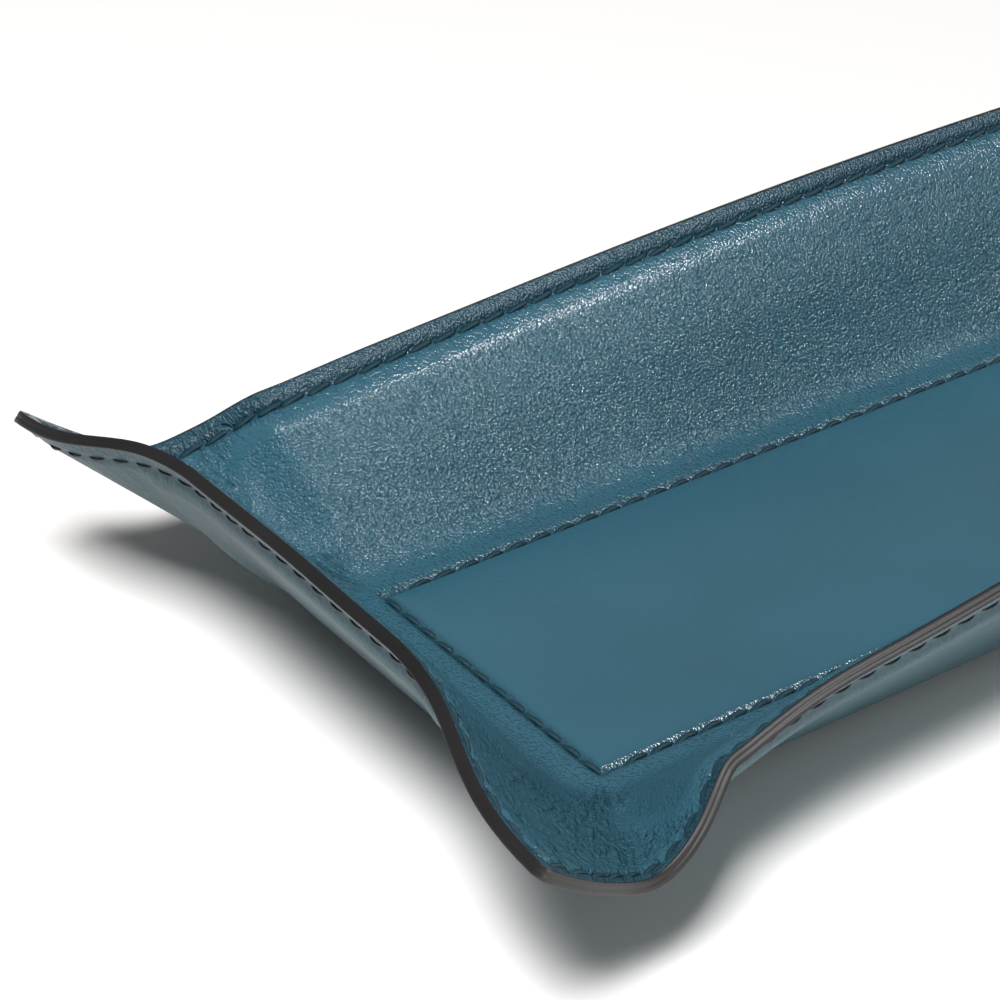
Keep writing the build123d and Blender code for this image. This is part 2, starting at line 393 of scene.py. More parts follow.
@dataclass(frozen=True)
class Relief:
    """What the boards, seams and creases do to the faces of the leather.

    Each slack is the share of a seam's pull that is lost halfway between two holes.
    """

    board_rise: float = 0.55
    board_edge: Slope = Slope(-1.1, 2.4)
    board_bead: Bell = Bell(0.16, 1.6, 1.5)
    low_edge: float = 0.45
    end_wall_side: Slope = Slope(0.0, 4.0)
    up_the_wall: Slope = Slope(9.5, 13.0)
    panel_puff: float = 0.3
    panel_roll: float = 1.6
    base_groove: Bell = Bell(0.8, 0.0, 0.7)
    base_swell: Bell = Bell(0.12, -2.2, 1.3)
    base_slack: float = 0.28
    rim_groove: Bell = Bell(0.75, SEAM.rim_inset, 0.7)
    rim_slack: float = 0.55
    groove_end: Slope = Slope(1.5, 1.5)
    rim_swells: tuple[tuple[Bell, Slope], ...] = (
        (Bell(0.2, 1.1, 0.7), Slope(0.0, 2.0)), (Bell(0.14, 4.2, 0.8), Slope(2.0, 2.0)))
    swell_pinch: float = 0.8
    outer_seam: float = 0.35
    off_the_base: Slope = Slope(0.0, 1.5)
    soft_past_end: Slope = Slope(-3.0, 6.0)
    soft_past_side: Slope = Slope(-2.0, 6.0)
    soft_off_board: Slope = Slope(-1.0, 2.5)
    stretched_ridge: Bell = Bell(0.85, 1.3, 1.1)
    # Painted shade, with a duller gloss, along the rim strip and in the base's seam
    rim_shade_and_rub: float = 0.9
    near_rim: Slope = Slope(-3.9, 1.4)
    seam_shade_and_rub: Bell = Bell(0.8, 0.0, 0.9)

    def boards(self, u: Array, v: Array) -> Array:
        """Signed distance inside the outline of the nearest wall board."""
        lf, found = LEATHER, []
        for board, along, out, fold, rim, next_fold in (
            (SIDE_BOARD, u, v, lf.half_width, lf.side_edge(u), lf.half_length),
            (END_BOARD, v, u, lf.half_length, lf.end_edge(v), lf.half_width),
        ):
            low, high = fold + board.start, rim - board.rim_gap
            out, half = np.abs(out) - (low + high) / 2, next_fold + board.past_fold
            found.append(inset(along, out, half, (high - low) / 2, board.corner))
        return np.maximum(*found)

    def board_fade(self, u: Array, v: Array) -> Array:
        """How far a board's outline shows: faint low on a wall, fainter on a side wall."""
        past_u, past_v = LEATHER.past_folds(u, v)
        low = self.low_edge * self.end_wall_side(past_u - past_v)
        return low + (1 - low) * self.up_the_wall(np.maximum(past_u, past_v))

    def lining(self, u: Array, v: Array) -> Array:
        """Height of the lining's upper face over the plain folded sheet."""
        edge = self.boards(u, v)
        board = self.board_rise * self.board_edge(edge) + self.board_bead(edge)
        inside = LEATHER.base_inset(u, v)
        roll = np.where(inside > 0, 1 - np.exp(-((inside / self.panel_roll) ** 2)), 0)
        along = np.where(np.abs(np.abs(v) - LEATHER.base_width / 2) < 2, u, v)
        pull = 1 - self.base_slack * SEAM.between(along)
        return (board * self.board_fade(u, v) + self.panel_puff * roll + self.base_swell(inside)
                - pull * self.base_groove(inside) + self.rim_seam(u, v) + self.creases(u, v))

    def outer(self, u: Array, v: Array) -> Array:
        """Height of the outer leather's lower face, which is pressed flat under the base."""
        free = self.off_the_base(LEATHER.place(u, v)[..., 2] - LEATHER.base_level)
        seam = self.outer_seam * np.minimum(self.rim_seam(u, v), 0)
        return -LEATHER.outer_face(u, v) - free * (seam - self.creases(u, v))

    def rim_seam(self, u: Array, v: Array) -> Array:
        """How far the rim's seam is drawn in, on either face, and swells beside its holes."""
        to_end, to_side = LEATHER.rim_gaps(u, v)
        total = np.zeros_like(to_end)
        for gap, other, along in ((to_side, to_end, u), (to_end, to_side, v)):
            between = SEAM.between(along)
            groove = self.rim_groove(gap) * self.groove_end(other)
            swell = sum(bell(gap) * end(other) for bell, end in self.rim_swells)
            puffed = 1 - self.swell_pinch * (1 - between)
            total = total - (1 - self.rim_slack * between) * groove + swell * puffed
        return total

    def creases(self, u: Array, v: Array) -> Array:
        """Creases of the soft corners."""
        p, q = LEATHER.past_folds(u, v)
        return sum(crease.relief(p, q) for crease in CREASES)

    def softness(self, u: Array, v: Array) -> Array:
        """0 on the boards and the base to 1 in the soft corners, where the grain creases."""
        p, q = LEATHER.past_folds(u, v)
        corner = self.soft_past_end(p) * self.soft_past_side(q)
        return corner * self.soft_off_board(-self.boards(u, v))

    def panel(self, u: Array, v: Array) -> Array:
        """1 on the stitched base panel, less on the ridge of the boards, 0 elsewhere."""
        ridge = self.stretched_ridge(self.boards(u, v)) * self.board_fade(u, v)
        return np.maximum(ease(LEATHER.base_inset(u, v)), ridge)

    def shade_and_rub(self, u: Array, v: Array) -> Array:
        """Painted shade along the rim strip and in the base's seam, which also dulls the gloss
        there.
        """
        gap = np.minimum(*LEATHER.rim_gaps(u, v))
        rim = self.rim_shade_and_rub * self.near_rim(-gap)
        return np.maximum(rim, self.seam_shade_and_rub(LEATHER.base_inset(u, v)))


RELIEF = Relief()


def finish_object(obj: Object, material: Material, stands_for: str) -> None:
    """Dresses a piece and hands it to the frame.

    Args:
        obj: the finished piece.
        material: its finish.
        stands_for: the node of the frame that it stands for.
    """
    mesh = obj.data
    mesh.polygons.foreach_set("use_smooth", np.ones(len(mesh.polygons), bool))
    mesh.materials.clear()
    mesh.materials.append(material)
    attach(obj, "root")
    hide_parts(stands_for)
    log.info("%s: %d faces", obj.name, len(mesh.polygons))


def mesh_piece(name: str, points: Array, faces: Sequence[Sequence[int]]) -> Object:
    """Makes a piece from points and from faces as vertex numbers."""
    mesh = bpy.data.meshes.new(name)
    mesh.from_pydata((points.reshape(-1, 3) * MM).tolist(), [], faces)
    mesh.update()
    obj = bpy.data.objects.new(name, mesh)
    bpy.context.collection.objects.link(obj)
    return obj


def edit_all(obj: Object, operator: Callable, **settings: object) -> None:
    """Runs an edit mode operator on the whole mesh of a piece."""
    bpy.ops.object.select_all(action="DESELECT")
    bpy.context.view_layer.objects.active = obj
    obj.select_set(True)
    bpy.ops.object.mode_set(mode="EDIT")
    bpy.ops.mesh.select_all(action="SELECT")
    operator(**settings)
    bpy.ops.object.mode_set(mode="OBJECT")


def set_uv(mesh: Mesh, name: str, uv: Array) -> None:
    """Stores a UV map that has one place for each vertex."""
    layer = mesh.uv_layers.new(name=name)
    corners = np.empty(len(mesh.loops), np.int32)
    mesh.loops.foreach_get("vertex_index", corners)
    layer.data.foreach_set("uv", uv[corners].astype(np.float32).ravel())


@dataclass(frozen=True)
class Sheet:
    """A leather, laid out flat as a grid and folded into place.

    Its grid is fine within seam_reach of the base's seam and between the two rim lines.
    """

    thickness: float = 0.9
    seam_reach: float = 1.4
    rim_lines: tuple[float, float] = (4.0, 1.3)
    steps_along: tuple[int, ...] = (112, 11, 38, 10, 4)
    steps_across: tuple[int, ...] = (12, 11, 29, 10, 4)
    wrinkle_origin: float = 6.0

    def spread(self, seam: float, rim: float, steps: tuple[int, ...]) -> Array:
        """Grid lines across the sheet, close together at the base's seam and at the rim's.

        Args:
            seam: distance of the base's seam from the middle.
            rim: distance of the rim from the middle.
            steps: steps in each stretch from the middle to the rim.

        Returns:
            Places of the lines, from one rim to the other.
        """
        ends = (0.0, seam - self.seam_reach, seam + self.seam_reach,
                *(rim - line for line in self.rim_lines), rim)
        half = np.concatenate([np.linspace(a, b, count + 1)[:-1]
                               for a, b, count in zip(ends, ends[1:], steps)] + [[rim]])
        return np.concatenate([-half[:0:-1], half])

    def flat_grid(self) -> tuple[int, int, Array, Array]:
        """Flat places of the grid's vertices, with the rim bowed and the tips rounded.

        Returns:
            Number of steps along and across, and u and v of the vertices, row by row.
        """
        lf = LEATHER
        far_u, far_v = lf.sheet_corner
        u, v = (self.spread(*ends) for ends in zip(
            lf.seam_corner, lf.sheet_corner, (self.steps_along, self.steps_across)))
        columns, rows = len(u) - 1, len(v) - 1
        u, v = (grid.ravel() for grid in np.meshgrid(u, v))
        out_u, out_v = (
            np.minimum(np.abs(at), fold) + np.maximum(np.abs(at) - fold, 0) / wall * (rim - fold)
            for at, fold, wall, rim in ((u, lf.half_length, lf.end_wall, lf.end_edge(v)),
                                        (v, lf.half_width, lf.side_wall, lf.side_edge(u))))
        tip_u, tip_v = out_u - (far_u - lf.tip_radius), out_v - (far_v - lf.tip_radius)
        reach = np.maximum(np.hypot(tip_u, tip_v), 1e-6)
        pull = np.where((tip_u > 0) & (tip_v > 0), np.maximum(tip_u, tip_v) / reach - 1, 0)
        out_u, out_v = out_u + tip_u * pull, out_v + tip_v * pull
        return columns, rows, np.copysign(out_u, u), np.copysign(out_v, v)

    def attributes(self, u: Array, v: Array, face: Face) -> dict[str, Array]:
        """Values at each vertex that the leather's material reads, by name.

        The last two are the angle and distance from a fold corner.
        """
        p, q = (past + self.wrinkle_origin for past in LEATHER.past_folds(u, v))
        return {
            "softness": RELIEF.softness(u, v),
            "panel": RELIEF.panel(u, v),
            "shade_and_rub": RELIEF.shade_and_rub(u, v) if face is Face.INSIDE else np.zeros_like(u),
            "around": np.arctan2(np.maximum(q, 0), np.maximum(p, 1e-3)),
            "outward": np.hypot(p, q) * TO_DECIMETRES,
        }

    def build(self, name: str, height: Height, face: Face) -> Object:
        """Folds the grid and gives it its thickness, away from its visible face.

        Args:
            name: the piece's name.
            height: height of the visible face over the lining's plain upper face.
            face: the side that the visible face is on.

        Returns:
            The piece, with its flat UV map and attributes.
        """
        columns, rows, u, v = self.flat_grid()
        bpy.ops.mesh.primitive_grid_add(x_subdivisions=columns, y_subdivisions=rows, size=2)
        obj = bpy.context.object
        obj.name = obj.data.name = name
        mesh = obj.data
        points = LEATHER.lift(u, v, height(u, v)) * MM
        mesh.vertices.foreach_set("co", points.ravel().astype(np.float32))
        mesh.update()
        set_uv(mesh, "Flat", np.stack([u, v], -1) * TO_DECIMETRES + 2.0)
        for label, values in self.attributes(u, v, face).items():
            layer = mesh.attributes.new(label, "FLOAT", "POINT")
            layer.data.foreach_set("value", values.astype(np.float32))
        if face is Face.OUTSIDE:
            edit_all(obj, bpy.ops.mesh.flip_normals)
        solid = obj.modifiers.new("thickness", "SOLIDIFY")
        solid.thickness, solid.offset = self.thickness * MM, -1
        bpy.ops.object.modifier_apply(modifier=solid.name)
        return obj


def node(tree: NodeTree, kind: str, inputs: dict | tuple = (), **settings: object) -> Node:
    """Adds a shader node.

    Args:
        tree: the material's node tree.
        kind: the node's type name, without "ShaderNode".
        inputs: values, or the sockets or nodes that feed them, in order or by input name.
        settings: attributes of the node.

    Returns:
        The new node.
    """
    new = tree.nodes.new("ShaderNode" + kind)
    for key, value in settings.items():
        setattr(new, key, value)
    for key, value in inputs.items() if isinstance(inputs, dict) else enumerate(inputs):
        if isinstance(value, Node):
            value = value.outputs[0]
        if isinstance(value, NodeSocket):
            tree.links.new(value, new.inputs[key])
        else:
            new.inputs[key].default_value = value
    return new


def seen(tree: NodeTree, in_gloss: float) -> NodeSocket:
    """1 where the camera sees a surface, straight or through glass, less in a reflection.

    Args:
        tree: the node tree of the surface.
        in_gloss: share of its whiteness that shows in a reflection.

    Returns:
        The share, 0 for every other ray.
    """
    ray = node(tree, "LightPath").outputs
    share = node(tree, "Math", (ray["Is Glossy Ray"], in_gloss), operation="MULTIPLY")
    for kind in ("Is Camera Ray", "Is Transmission Ray"):
        share = node(tree, "Math", (ray[kind], share), operation="MAXIMUM")
    return share.outputs[0]


def new_material(name: str) -> tuple[Material, NodeTree, Node]:
    """Starts a material.

    Returns:
        The material, its node tree and its shader.
    """
    material = bpy.data.materials.new(name)
    material.use_nodes = True
    tree = material.node_tree
    return material, tree, tree.nodes["Principled BSDF"]


@dataclass(frozen=True)
class Finish:
    """A procedural finish in two close tones, with a shallow relief."""

    name: str
    light: str
    dark: str
    roughness: float
    depth: float = 0.05
    strength: float = 1.0

    def make(self) -> Material:
        """Builds the material from the finish's own pattern."""
        material, tree, shader = new_material(self.name)
        shader.inputs["Roughness"].default_value = self.roughness
        colour, height = self.pattern(tree)
        bump = node(tree, "Bump", {"Height": height, "Strength": self.strength,
                                   "Distance": self.depth * MM})
        tree.links.new(colour, shader.inputs["Base Color"])
        tree.links.new(bump.outputs["Normal"], shader.inputs["Normal"])
        return material

    def pattern(self, tree: NodeTree) -> Pattern:
        """Colour and height of the finish."""
        raise NotImplementedError

    def tones(
        self, tree: NodeTree, pattern: NodeSocket, stops: tuple[float, float] = (0.0, 1.0),
    ) -> NodeSocket:
        """Goes from the dark tone to the light one with a pattern, between two stops."""
        ramp = node(tree, "ValToRGB", (pattern,))
        for end, stop, tone in zip(ramp.color_ramp.elements, stops, (self.dark, self.light)):
            end.position, end.color = stop, linear(tone)
        return ramp.outputs["Color"]


@dataclass(frozen=True)
class DyedCalf(Finish):
    """Drum-dyed calf leather with a fine shrunken grain, lightly waxed.

    The grain is a plate of small pebbles, 0.42 mm across, that the stretched base panel
    and the ridges of the boards make calmer. Rubbed seams are a little less glossy.
    """

    depth: float = 0.17
    grain: float = 0.42
    specular: float = 0.9
    rubbed_roughness: float = 0.12
    warp: float = 0.0022
    fine: float = 0.36
    stretched: float = 0.84
    # gap_start, gap_end and gap_shade set the painted shade in the gaps between the pebbles
    gap_start: float = 0.45
    gap_end: float = 0.85
    gap_shade: float = 0.4
    wrinkle_scale: float = 20.0
    wrinkle_depth: float = 12.0

    def make(self) -> Material:
        """Builds the leather's material, with the gloss of its wax."""
        material = super().make()
        tree = material.node_tree
        shader = tree.nodes["Principled BSDF"]
        shader.inputs["Specular IOR Level"].default_value = self.specular
        # The mask of painted shade at the rim and the seams also makes them rougher
        if self.rubbed_roughness:
            shade_and_rub = node(tree, "Attribute", attribute_name="shade_and_rub").outputs["Fac"]
            gloss = node(tree, "MapRange", {"Value": shade_and_rub, "To Min": self.roughness,
                                            "To Max": self.roughness + self.rubbed_roughness})
            tree.links.new(gloss.outputs["Result"], shader.inputs["Roughness"])
        return material

    def pattern(self, tree: NodeTree) -> Pattern:
        """Dye and grain on the flat UV map, in decimetres."""
        uv = node(tree, "UVMap", uv_map="Flat")
        shade_and_rub, panel, around, outward, soft = (
            node(tree, "Attribute", attribute_name=name).outputs["Fac"]
            for name in ("shade_and_rub", "panel", "around", "outward", "softness"))
        # Round-topped pebbles of uneven outline, with finer grain on them
        pebbles = 1 / (self.grain * TO_DECIMETRES)
        noise = node(tree, "TexNoise", {"Vector": uv, "Scale": pebbles * 0.45, "Detail": 1.0})
        shift = node(tree, "VectorMath", (noise.outputs["Color"], (self.warp, self.warp, 0)),
                     operation="MULTIPLY")
        spot = node(tree, "VectorMath", (uv, shift), operation="ADD")
        apart = node(tree, "TexVoronoi", {"Vector": spot, "Scale": pebbles, "Randomness": 1.0},
                     feature="F1")
        fine = node(tree, "TexNoise", {"Vector": uv, "Scale": pebbles * 0.8, "Detail": 2.0})
        fine = node(tree, "Math", (fine, self.fine), operation="MULTIPLY")
        fall = node(tree, "Math", (apart, apart), operation="MULTIPLY")
        both = node(tree, "Math", (fine, fall), operation="SUBTRACT")
        calm = node(tree, "Math", (panel, -self.stretched, 1.0), operation="MULTIPLY_ADD")
        grain = node(tree, "Math", (both, calm), operation="MULTIPLY")
        # Painted shade darkens the gaps between the pebbles, the rim strip and the base's seam
        gap = node(tree, "MapRange", {"Value": apart, "From Min": self.gap_start,
                                      "From Max": self.gap_end},
                   interpolation_type="SMOOTHSTEP")
        gap = node(tree, "Math", (gap, calm), operation="MULTIPLY")
        shade_share = node(tree, "Math", (gap, self.gap_shade, shade_and_rub), operation="MULTIPLY_ADD",
                    use_clamp=True)
        broad = node(tree, "TexNoise", {"Vector": uv, "Scale": 3.0, "Detail": 2.0})
        plain = self.tones(tree, broad.outputs["Fac"], (0.3, 0.7))
        # The painted shade multiplies the tones by a dark grey-teal
        shaded_tone = node(tree, "Mix", {"Factor": shade_share, "A": plain}, data_type="RGBA",
                    blend_type="MULTIPLY")
        shaded_tone.inputs["B"].default_value = (0.5, 0.54, 0.56, 1)
        # Fine wrinkles run out from a fold corner into its spout
        place = node(tree, "CombineXYZ", (around, outward))
        noise = node(tree, "TexNoise", {"Vector": place, "Scale": self.wrinkle_scale,
                                        "Detail": 2.0, "Distortion": 0.7})
        fold = node(tree, "Math", (noise, 0.5), operation="SUBTRACT")
        fold = node(tree, "Math", (fold,), operation="ABSOLUTE")
        fold = node(tree, "Math", (fold, soft), operation="MULTIPLY")
        height = node(tree, "Math", (fold, self.wrinkle_depth, grain), operation="MULTIPLY_ADD")
        return shaded_tone.outputs["Result"], height.outputs[0]


class EdgeLacquer(Finish):
    """Several coats of dark edge paint, sanded and polished: near black, with a soft gloss."""

    def pattern(self, tree: NodeTree) -> Pattern:
        """Ripples of brushed coats, about 1.5 mm apart, on Object coordinates."""
        place = node(tree, "TexCoord").outputs["Object"]
        coat = node(tree, "TexNoise", {"Vector": place, "Scale": 650.0, "Detail": 3.0})
        tint = node(tree, "TexNoise", {"Vector": place, "Scale": 60.0, "Detail": 2.0})
        return self.tones(tree, tint.outputs["Fac"], (0.35, 0.65)), coat.outputs["Fac"]


@dataclass(frozen=True)
class WaxedThread(Finish):
    """Twisted polyester thread, waxed: the twist shows as slanted lines 0.3 mm apart."""

    strength: float = 0.5

    def pattern(self, tree: NodeTree) -> Pattern:
        """The twist on the thread's own UV map, along and round the thread."""
        uv = node(tree, "UVMap", uv_map="Thread")
        turned = node(tree, "Mapping", {"Vector": uv, "Rotation": (0, 0, 0.6)})
        twist = node(tree, "TexWave", {"Vector": turned, "Scale": 1.1,
                                       "Distortion": 0.6}).outputs["Fac"]
        return self.tones(tree, twist), twist


class PressedBoard(Finish):
    """Pressed fibre board or foam, raw: short fibres and a mottled dull face."""

    def pattern(self, tree: NodeTree) -> Pattern:
        """Short fibres on Object coordinates."""
        place = node(tree, "TexCoord").outputs["Object"]
        fibre = node(tree, "TexNoise", {"Vector": place, "Scale": 900.0,
                                        "Detail": 4.0}).outputs["Fac"]
        return self.tones(tree, fibre), fibre


@dataclass(frozen=True)
class Leathers:
    """The lining and the outer leather, which is drier and smoother on its outside."""

    finish_in: DyedCalf = DyedCalf("dyed_calf_lining", "#316071", "#2e5a6b", 0.15)
    # The outer leather's grey cast is a painted sheen, the white floor's reflection mixed into
    # its teal
    finish_out: DyedCalf = DyedCalf(
        "dyed_calf_outer", "#4e6c74", "#445f67", 0.5, grain=0.5, depth=0.05, specular=0.35,
        rubbed_roughness=0.0)

    def build(self) -> None:
        """Builds and dresses both leathers."""
        lining = Sheet().build("lining_leather", RELIEF.lining, Face.INSIDE)
        finish_object(lining, self.finish_in.make(), "lining")
        outer = Sheet().build("outer_leather_shell", RELIEF.outer, Face.OUTSIDE)
        finish_object(outer, self.finish_out.make(), "outer_leather")


@dataclass(frozen=True)
class EdgeBand:
    """The painted edge: a rounded band that wraps the cut of both leathers.

    It stands proud of the cut, with a shallow groove where the leathers meet, and covers
    a little of both faces.
    """

    proud: float = 0.14
    wrap: float = 0.1
    cover: float = 0.03
    squareness: float = 3.2
    groove: float = 0.06
    groove_width: float = 0.14
    around: int = 17
    step: float = 0.9
    tip_steps: int = 6
    finish: EdgeLacquer = EdgeLacquer(
        "polished_edge_lacquer", "#211f1f", "#1a1919", 0.4, depth=0.06, strength=0.35)

    def profile(self) -> tuple[Array, Array]:
        """Section of the band.

        Returns:
            Distance out from the cut and depth under the lining's face, from the face
            inside to the face outside, closed behind the cut.
        """
        half = (LEATHER.closed_depth + LEATHER.leather - LEATHER.skive) / 2
        turn = np.sin(np.linspace(-1, 1, self.around) * np.pi / 2)
        depth = half + (half + self.cover) * turn
        out = self.proud * np.sqrt(np.clip(1 - np.abs(turn) ** self.squareness, 0, 1))
        out = out - Bell(self.groove, half, self.groove_width)(depth)
        out[0] = out[-1] = -self.wrap
        return out, depth

    def path(self) -> Columns:
        """Walks once round the rim, wall by wall, with a rounded tip after each.

        Returns:
            Flat u and v of each place, and the flat angle that points out of the rim.
        """
        lf = LEATHER
        core_u, core_v = (far - lf.tip_radius for far in lf.sheet_corner)
        along_u = np.arange(-core_u, core_u, self.step)
        along_v = np.arange(-core_v, core_v, self.step)
        end, side = lf.end_edge(along_v), lf.side_edge(along_u)
        walls = (
            (end, along_v, core_u, core_v),
            (along_u[::-1], side[::-1], -core_u, core_v),
            (-end[::-1], along_v[::-1], -core_u, -core_v),
            (along_u, -side, core_u, -core_v),
        )
        parts = []
        for quarter, (u, v, tip_u, tip_v) in enumerate(walls):
            turn = quarter * np.pi / 2
            parts.append((u, v, np.full(len(u), turn)))
            angle = turn + np.linspace(0, np.pi / 2, self.tip_steps + 1)[1:-1]
            parts.append((tip_u + lf.tip_radius * np.cos(angle),
                          tip_v + lf.tip_radius * np.sin(angle), angle))
        return tuple(np.concatenate(column) for column in zip(*parts))

    def build(self) -> None:
        """Builds and dresses the band."""
        u, v, angle = (column[:, None] for column in self.path())
        out, depth = self.profile()
        points = LEATHER.lift(u + np.cos(angle) * out, v + np.sin(angle) * out, -depth)
        count, around = points.shape[:2]
        i, k = np.meshgrid(np.arange(count), np.arange(around), indexing="ij")
        j, m = (i + 1) % count, (k + 1) % around
        corners = (i * around + k, j * around + k, j * around + m, i * around + m)
        faces = np.stack(corners, -1).reshape(-1, 4).tolist()
        band = mesh_piece("edge_paint_band", points, faces)
        edit_all(band, bpy.ops.mesh.normals_make_consistent, inside=False)
        finish_object(band, self.finish.make(), "edge_paint")


@dataclass(frozen=True)
class Stitches:
    """A row of stitches: one stitch is modelled, then copied along its seam.

    length, thread and lift are a stitch's length, thickness and height over the leather,
    and slant is how far it turns from its seam, in radians. The thread narrows, flattens
    and dips toward its two holes.
    """

    name: str
    stands_for: str
    finish: WaxedThread
    length: float
    thread: float
    lift: float = 0.0
    slant: float = 0.0
    rings: int = 6
    sides: int = 8
    narrowing: float = 0.72
    flattening: float = 0.8
    dip: float = 0.62
    twist_length: float = 0.3

    def cut(self) -> None:
        """Cuts the stitch that is being edited into its rings."""
        for ring in range(1, self.rings):
            x = self.length * (ring / self.rings - 0.5)
            bpy.ops.mesh.select_all(action="SELECT")
            bpy.ops.mesh.bisect(plane_co=(x, 0, 0), plane_no=(1, 0, 0))

    def one(self) -> Columns:
        """Models one stitch, along X with its belly up in Z.

        Returns:
            Its points, its faces as vertex numbers, and its thread UVs.
        """
        bpy.ops.mesh.primitive_cylinder_add(
            vertices=self.sides, radius=self.thread / 2, depth=self.length,
            end_fill_type="TRIFAN", rotation=(0, math.pi / 2, 0))
        obj = bpy.context.object
        bpy.ops.object.transform_apply(location=True, rotation=True, scale=True)
        edit_all(obj, self.cut)
        mesh = obj.data
        points = np.empty(len(mesh.vertices) * 3)
        mesh.vertices.foreach_get("co", points)
        points = points.reshape(-1, 3)
        faces = [tuple(face.vertices) for face in mesh.polygons]
        share = points[:, 0] / (self.length / 2)
        full = np.sqrt(np.clip(1 - np.abs(share) ** 3.5 * self.narrowing, 0.05, 1))
        round_angle = np.arctan2(points[:, 2], points[:, 1])
        points[:, 1] *= full
        points[:, 2] = points[:, 2] * full * self.flattening - share**2 * self.thread * self.dip
        uv = np.stack([points[:, 0] / self.twist_length, round_angle / 2], -1)
        bpy.data.objects.remove(obj)
        return points, faces, uv

    def lay(self, middles: Array, along: Array, normals: Array) -> None:
        """Copies the stitch to its places and dresses the row.

        Args:
            middles: where the middle of each stitch touches the leather.
            along: direction of the seam at each.
            normals: direction out of the leather at each.
        """
        points, faces, uv = self.one()
        across = np.cross(normals, along)
        turned = along * math.cos(self.slant) + across * math.sin(self.slant)
        axes = (turned, np.cross(normals, turned), normals)
        moved = (middles + normals * self.lift)[:, None, :]
        for i, axis in enumerate(axes):
            moved = moved + points[None, :, i, None] * axis[:, None, :]
        count, each = moved.shape[:2]
        all_faces = [tuple(n + i * each for n in face) for i in range(count) for face in faces]
        row = mesh_piece(self.name, moved, all_faces)
        set_uv(row.data, "Thread", np.tile(uv, (count, 1)))
        finish_object(row, self.finish.make(), self.stands_for)


@dataclass(frozen=True)
class Seams:
    """Every row of stitches on the tray. The thread is darker on the outside."""

    teal: WaxedThread = WaxedThread("waxed_thread_teal", "#1f4450", "#122c36", 0.38)
    navy: WaxedThread = WaxedThread("waxed_thread_navy", "#18303d", "#0d1b24", 0.38)
    reach: float = 1.2
    under_level: float = 0.32

    @staticmethod
    def places(corner: Sequence[float], side: Edge, end: Edge) -> Places:
        """Flat middles and directions of a closed seam's stitches, in between its holes.

        Args:
            corner: distance of the seam's corners from the middle, along and across.
            side: distance of the seam along the sides, at each length.
            end: distance of the seam along the ends, at each width.

        Returns:
            u and v of the middles, then of the directions.
        """
        rows = []
        for last, edge, turned in ((corner[0], side, False), (corner[1], end, True)):
            count = int(last // SEAM.pitch)
            at = (np.arange(-count, count) + 0.5) * SEAM.pitch
            full, none = np.ones_like(at), np.zeros_like(at)
            for sign in (1, -1):
                off = sign * edge(at)
                rows.append((off, at, none, full) if turned else (at, off, full, none))
        return tuple(np.concatenate(column) for column in zip(*rows))

    def seats(self, places: Places, height: Height, face: Face) -> Columns:
        """Where stitches lie in space.

        Args:
            places: flat middles and directions.
            height: height of the leather's face that they lie on.
            face: the side that the face is on.

        Returns:
            Middles, directions and normals of the stitches.
        """
        u, v, du, dv = places
        middle, ahead, behind = (
            LEATHER.lift(u + du * step, v + dv * step, height(u + du * step, v + dv * step))
            for step in (0.0, self.reach, -self.reach))
        along, normals = unit(ahead - behind), LEATHER.normal(u, v)
        normals = unit(normals - along * np.sum(normals * along, -1, keepdims=True))
        return middle, along, normals * face.value

    def build(self) -> None:
        """Builds and dresses the four rows."""
        lf = LEATHER
        rim = self.places([far - SEAM.rim_inset for far in lf.sheet_corner],
                          lambda u: lf.side_edge(u) - SEAM.rim_inset,
                          lambda v: lf.end_edge(v) - SEAM.rim_inset)
        half_u, half_v = lf.seam_corner
        base = self.places(lf.seam_corner, lambda u: np.full_like(u, half_v),
                           lambda v: np.full_like(v, half_u))
        inside = self.seats(rim, RELIEF.lining, Face.INSIDE)
        outside = self.seats(rim, RELIEF.outer, Face.OUTSIDE)
        top = self.seats(base, RELIEF.lining, Face.INSIDE)
        u, v, du, dv = base
        under = (np.stack([u, v, np.full_like(u, self.under_level)], -1),
                 np.stack([du, dv, np.zeros_like(u)], -1),
                 np.tile((0.0, 0.0, -1.0), (len(u), 1)))
        Stitches("rim_stitches_inside", "rim_thread_inside", self.teal,
                 length=4.0, thread=0.78, lift=0.2, slant=0.16).lay(*inside)
        Stitches("rim_stitches_outside", "rim_thread_outside", self.navy,
                 length=2.9, thread=0.48, lift=0.22).lay(*outside)
        Stitches("base_stitches_top", "base_thread_top", self.teal,
                 length=4.3, thread=0.86, lift=0.24, slant=0.17).lay(*top)
        Stitches("base_stitches_under", "base_thread_under", self.navy,
                 length=2.9, thread=0.5).lay(*under)


@dataclass(frozen=True)
class HiddenBoards:
    """The boards and the pad between the leathers, carried over from the frame."""

    finishes: tuple[tuple[PressedBoard, tuple[str, ...]], ...] = (
        (PressedBoard("pressed_fibre_board", "#8f7f68", "#6d5f4c", 0.85, strength=0.4),
         ("base_board", "back_wall_board", "front_wall_board", "right_wall_board",
          "left_wall_board")),
        (PressedBoard("closed_cell_foam", "#4a4c4e", "#3a3c3e", 0.9, strength=0.4),
         ("base_pad",)))

    def dress(self) -> None:
        """Gives the hidden pieces their finishes."""
        for finish, names in self.finishes:
            material = finish.make()
            for name in names:
                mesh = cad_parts[name].data
                mesh.materials.clear()
                mesh.materials.append(material)
                log.info("%s: dressed", name)


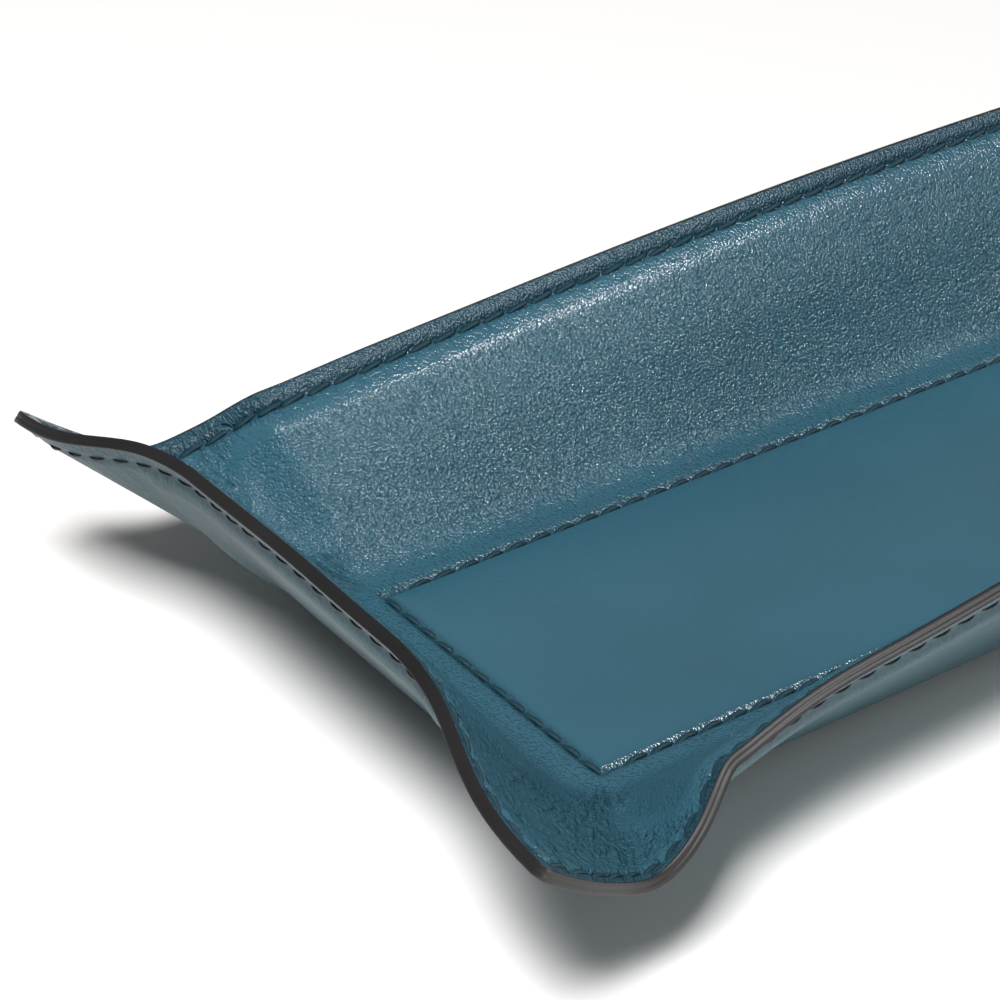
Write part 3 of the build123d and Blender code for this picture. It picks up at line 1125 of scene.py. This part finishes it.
@dataclass(frozen=True)
class Softbox:
    """A rectangular softbox: its place, the point it faces, its size and its watts.

    glare and soft say if it shows in the gloss, and if it lights the surfaces.
    """

    name: str
    place: Point
    aim: Point
    size: tuple[float, float]
    power: float
    glare: bool = True
    soft: bool = True

    def hang(self) -> None:
        """Adds the softbox to the scene."""
        data = bpy.data.lights.new(self.name, "AREA")
        data.shape, data.energy = "RECTANGLE", self.power
        data.size, data.size_y = self.size
        lamp = bpy.data.objects.new(self.name, data)
        bpy.context.collection.objects.link(lamp)
        lamp.location = self.place
        facing = Vector(self.aim) - Vector(self.place)
        lamp.rotation_euler = facing.to_track_quat("-Z", "Y").to_euler()
        lamp.visible_glossy, lamp.visible_diffuse = self.glare, self.soft


@dataclass(frozen=True)
class Studio:
    """Floor, light and camera, in metres and degrees. The camera's place is in millimetres."""

    azimuth: float = -35.214
    elevation: float = 32.255
    lens: float = 125.485
    camera_mm: Point = (-338.38, -312.23, 272.10)
    floor_size: float = 6.0
    floor_level: float = -0.0002
    fill: float = 0.115
    sky_in_gloss: float = 0.12
    softboxes: tuple[Softbox, ...] = (
        # A polarising sheet over it takes its own glare off the leather
        Softbox("overhead_softbox", (-0.64, -0.38, 1.34), (0, 0, 0), (0.5, 0.5), 27.4, False),
        Softbox("low_front_card", (0.1, -1.1, 0.12), (0, 0, 0.02), (0.6, 0.2), 4.0),
        # These two give the leather only its glints
        Softbox("front_left_lamp", (-0.4, -0.6, 1.15), (-0.1, 0, 0.02), (0.18, 0.18), 3.2,
                soft=False),
        Softbox("front_right_softbox", (0.35, -0.75, 0.87), (-0.07, 0, 0.02), (0.16, 0.18),
                5.0, soft=False),
    )

    def lay_floor(self) -> None:
        """A plain white floor that keeps the tray's shadow."""
        bpy.ops.mesh.primitive_plane_add(size=self.floor_size, location=(0, 0, self.floor_level))
        floor = bpy.context.object
        floor.name = "studio_floor"
        # White paper sweep, dead matt, that throws less light back than it shows
        material, tree, shader = new_material("white_paper_sweep")
        white = node(tree, "Mix", {"Factor": seen(tree, 1.0)}, data_type="RGBA")
        white.inputs["A"].default_value = (0.5, 0.5, 0.5, 1)
        white.inputs["B"].default_value = (1.0, 0.985, 0.97, 1)
        tree.links.new(white.outputs["Result"], shader.inputs["Base Color"])
        shader.inputs["Roughness"].default_value = 0.9
        shader.inputs["Specular IOR Level"].default_value = 0.0
        floor.data.materials.append(material)

    def light(self) -> None:
        """Hangs the softboxes in an even surround, white to the camera and weak to the tray."""
        for softbox in self.softboxes:
            softbox.hang()
        world = bpy.data.worlds.new("surround")
        bpy.context.scene.world = world
        world.use_nodes = True
        tree = world.node_tree
        sky = tree.nodes["Background"]
        sky.inputs["Color"].default_value = (1, 1, 1, 1)
        level = node(tree, "MapRange", {"Value": seen(tree, self.sky_in_gloss),
                                        "To Min": self.fill, "To Max": 1.0})
        tree.links.new(level.outputs["Result"], sky.inputs["Strength"])

    def place_camera(self) -> None:
        """The camera at the photograph's angle."""
        a, e = math.radians(self.azimuth), math.radians(self.elevation)
        back = Vector((math.sin(a) * math.cos(e), -math.cos(a) * math.cos(e), math.sin(e)))
        right = Vector((math.cos(a), math.sin(a), 0))
        data = bpy.data.cameras.new("camera")
        data.lens, data.sensor_width = self.lens, 36.0
        data.clip_start, data.clip_end = 0.01, 50.0
        camera = bpy.data.objects.new("camera", data)
        bpy.context.collection.objects.link(camera)
        turn = Matrix((right, back.cross(right), back)).transposed().to_4x4()
        camera.matrix_world = Matrix.Translation(Vector(self.camera_mm) * MM) @ turn
        bpy.context.scene.camera = camera

    def build(self) -> None:
        """Sets the whole studio."""
        self.lay_floor()
        self.light()
        self.place_camera()
        bpy.context.scene.view_settings.view_transform = "Standard"


def main() -> None:
    """Builds every piece in order."""
    logging.basicConfig(level=logging.INFO)
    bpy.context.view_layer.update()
    Leathers().build()
    EdgeBand().build()
    Seams().build()
    HiddenBoards().dress()
    Studio().build()


if __name__ == "__main__":
    main()
